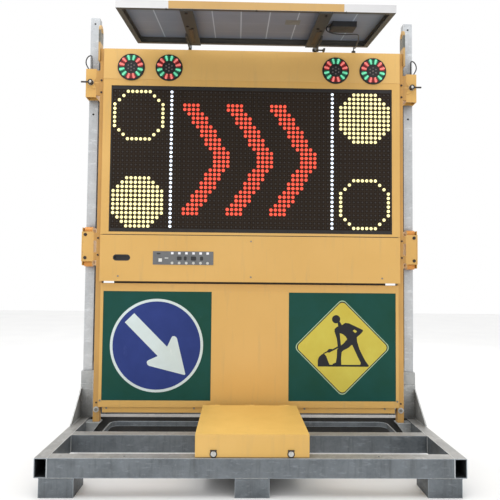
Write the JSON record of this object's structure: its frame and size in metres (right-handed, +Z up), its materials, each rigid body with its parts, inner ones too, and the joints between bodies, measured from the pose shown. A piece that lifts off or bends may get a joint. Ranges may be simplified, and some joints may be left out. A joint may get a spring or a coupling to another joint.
{
  "type": "skid-mounted solar led road works board",
  "caption": "Solar LED road-works message board with sign plates, sliding on two masts over a fork-lift skid base.",
  "frame": {"origin": "On the ground, midway between the two masts", "axes": "+Z up, the board faces -Y, +X to the right of a viewer who faces the board"},
  "size_m": [2.264, 1.7957, 2.88],
  "materials": {
    "galvanised_steel": null,
    "yellow_paint": null,
    "orange_paint": null,
    "black_face": null,
    "black_paint": null,
    "red_lens": null,
    "green_lens": null,
    "grey_plastic": null,
    "dark_plastic": null,
    "green_sign_face": null,
    "zinc_screws": null,
    "light_polymer": null,
    "orange_roller": null,
    "olive_steel": null,
    "anodised_aluminium": null,
    "solar_glass": null,
    "rubber_lead": null,
    "circuit_board": null,
    "white_button": null,
    "lamp_amber": null
  },
  "bodies": {
    "base": {"side_rails": "galvanised_steel", "front_rail": "galvanised_steel", "cross_rails": "galvanised_steel", "base_feet": "galvanised_steel", "mast_sockets": "galvanised_steel", "masts": "galvanised_steel", "post_shoes": "galvanised_steel", "cable_guard_bar": "galvanised_steel", "battery_tray": "galvanised_steel", "batteries": "dark_plastic", "cover_back_plate": "yellow_paint"},
    "battery_cover": {"battery_cover": "yellow_paint"},
    "left_latch": {"left_cover_latch": "zinc_screws"},
    "right_latch": {"right_cover_latch": "zinc_screws"},
    "board": {"board_posts": "yellow_paint", "display_cabinet": "yellow_paint", "header_panel": "yellow_paint", "display_mask": "black_face", "led_modules": "circuit_board", "lamp_housings": "black_face", "lamp_petals_red": "red_lens", "lamp_petals_green": "green_lens", "power_supplies": "anodised_aluminium", "charge_controller": "dark_plastic", "control_box": "yellow_paint", "control_panel": "yellow_paint", "keypad_plate": "grey_plastic", "indicator_lamps": "lamp_amber", "pull_recess": "dark_plastic", "sign_frame": "yellow_paint", "left_sign_plate": "green_sign_face", "right_sign_plate": "green_sign_face", "centre_panel": "yellow_paint", "rear_panels": "yellow_paint", "board_screws": "zinc_screws", "upper_sleeves": "yellow_paint", "sleeve_loops": "galvanised_steel", "lower_guides": "yellow_paint", "lifting_lugs": "yellow_paint", "solar_brackets": "olive_steel"},
    "key_1": {"button_1": "light_polymer"},
    "key_2": {"button_2": "light_polymer"},
    "key_3": {"button_3": "light_polymer"},
    "key_4": {"button_4": "light_polymer"},
    "key_5": {"button_5": "light_polymer"},
    "key_6": {"button_6": "light_polymer"},
    "power_key": {"power_button": "white_button"},
    "left_clamp": {"left_clamp_screw": "zinc_screws"},
    "right_clamp": {"right_clamp_screw": "zinc_screws"},
    "solar_panel": {"solar_frame": "anodised_aluminium", "solar_laminate": "solar_glass", "solar_arms": "olive_steel", "junction_box": "dark_plastic", "solar_front_strip": "yellow_paint", "solar_lead": "rubber_lead"},
    "lock_handle": {"tilt_lock": "black_paint"},
    "left_upper_wheel": {"left_upper_roller": "orange_roller"},
    "left_lower_wheel": {"left_lower_roller": "orange_roller"},
    "right_upper_wheel": {"right_upper_roller": "orange_roller"},
    "right_lower_wheel": {"right_lower_roller": "orange_roller"}
  },
  "joints": [
    {"name": "cover_hinge", "type": "hinge", "parent": "base", "child": "battery_cover", "pos_m": [0, -0.208, 0.314], "axis": [-1, 0, 0], "range_deg": [0, 80]},
    {"name": "left_latch_turn", "type": "hinge", "parent": "battery_cover", "child": "left_latch", "pos_m": [-0.2, -0.868, 0.22], "axis": [0, -1, 0], "range_deg": [0, 90]},
    {"name": "right_latch_turn", "type": "hinge", "parent": "battery_cover", "child": "right_latch", "pos_m": [0.2, -0.868, 0.22], "axis": [0, -1, 0], "range_deg": [0, 90]},
    {"name": "board_lift", "type": "slide", "parent": "base", "child": "board", "axis": [0, 0, 1], "range_m": [0, 0.34]},
    {"name": "key_1_press", "type": "slide", "parent": "board", "child": "key_1", "axis": [0, 1, 0], "range_m": [0, 0.0012], "stiffness_N_per_m": 800},
    {"name": "key_2_press", "type": "slide", "parent": "board", "child": "key_2", "axis": [0, 1, 0], "range_m": [0, 0.0012], "stiffness_N_per_m": 800},
    {"name": "key_3_press", "type": "slide", "parent": "board", "child": "key_3", "axis": [0, 1, 0], "range_m": [0, 0.0012], "stiffness_N_per_m": 800},
    {"name": "key_4_press", "type": "slide", "parent": "board", "child": "key_4", "axis": [0, 1, 0], "range_m": [0, 0.0012], "stiffness_N_per_m": 800},
    {"name": "key_5_press", "type": "slide", "parent": "board", "child": "key_5", "axis": [0, 1, 0], "range_m": [0, 0.0012], "stiffness_N_per_m": 800},
    {"name": "key_6_press", "type": "slide", "parent": "board", "child": "key_6", "axis": [0, 1, 0], "range_m": [0, 0.0012], "stiffness_N_per_m": 800},
    {"name": "power_key_press", "type": "slide", "parent": "board", "child": "power_key", "axis": [0, 1, 0], "range_m": [0, 0.0012], "stiffness_N_per_m": 800},
    {"name": "left_clamp_turn", "type": "hinge", "parent": "board", "child": "left_clamp", "pos_m": [-1.07, -0.13, 2.406], "axis": [0, -1, 0], "range_deg": [-180, 180]},
    {"name": "right_clamp_turn", "type": "hinge", "parent": "board", "child": "right_clamp", "pos_m": [1.07, -0.13, 2.406], "axis": [0, -1, 0], "range_deg": [-180, 180]},
    {"name": "solar_tilt", "type": "hinge", "parent": "board", "child": "solar_panel", "pos_m": [0, -0.15, 2.668], "axis": [-1, 0, 0], "range_deg": [-5, 45], "deforming": ["solar_lead"]},
    {"name": "lock_turn", "type": "hinge", "parent": "board", "child": "lock_handle", "pos_m": [0.45, -0.15, 2.636], "axis": [1, 0, 0], "range_deg": [-90, 90]},
    {"name": "left_upper_roll", "type": "hinge", "parent": "board", "child": "left_upper_wheel", "pos_m": [-1.07, -0.0573, 1.422], "axis": [1, 0, 0], "range_deg": [-725, 1]},
    {"name": "left_lower_roll", "type": "hinge", "parent": "board", "child": "left_lower_wheel", "pos_m": [-1.07, -0.0573, 1.214], "axis": [1, 0, 0], "range_deg": [-725, 1]},
    {"name": "right_upper_roll", "type": "hinge", "parent": "board", "child": "right_upper_wheel", "pos_m": [1.07, -0.0573, 1.422], "axis": [1, 0, 0], "range_deg": [-725, 1]},
    {"name": "right_lower_roll", "type": "hinge", "parent": "board", "child": "right_lower_wheel", "pos_m": [1.07, -0.0573, 1.214], "axis": [1, 0, 0], "range_deg": [-725, 1]}
  ],
  "couplings": [
    {"joint": "left_upper_roll", "follows": "board_lift", "rad_per_m": -37.037},
    {"joint": "left_lower_roll", "follows": "board_lift", "rad_per_m": -37.037},
    {"joint": "right_upper_roll", "follows": "board_lift", "rad_per_m": -37.037},
    {"joint": "right_lower_roll", "follows": "board_lift", "rad_per_m": -37.037}
  ]
}
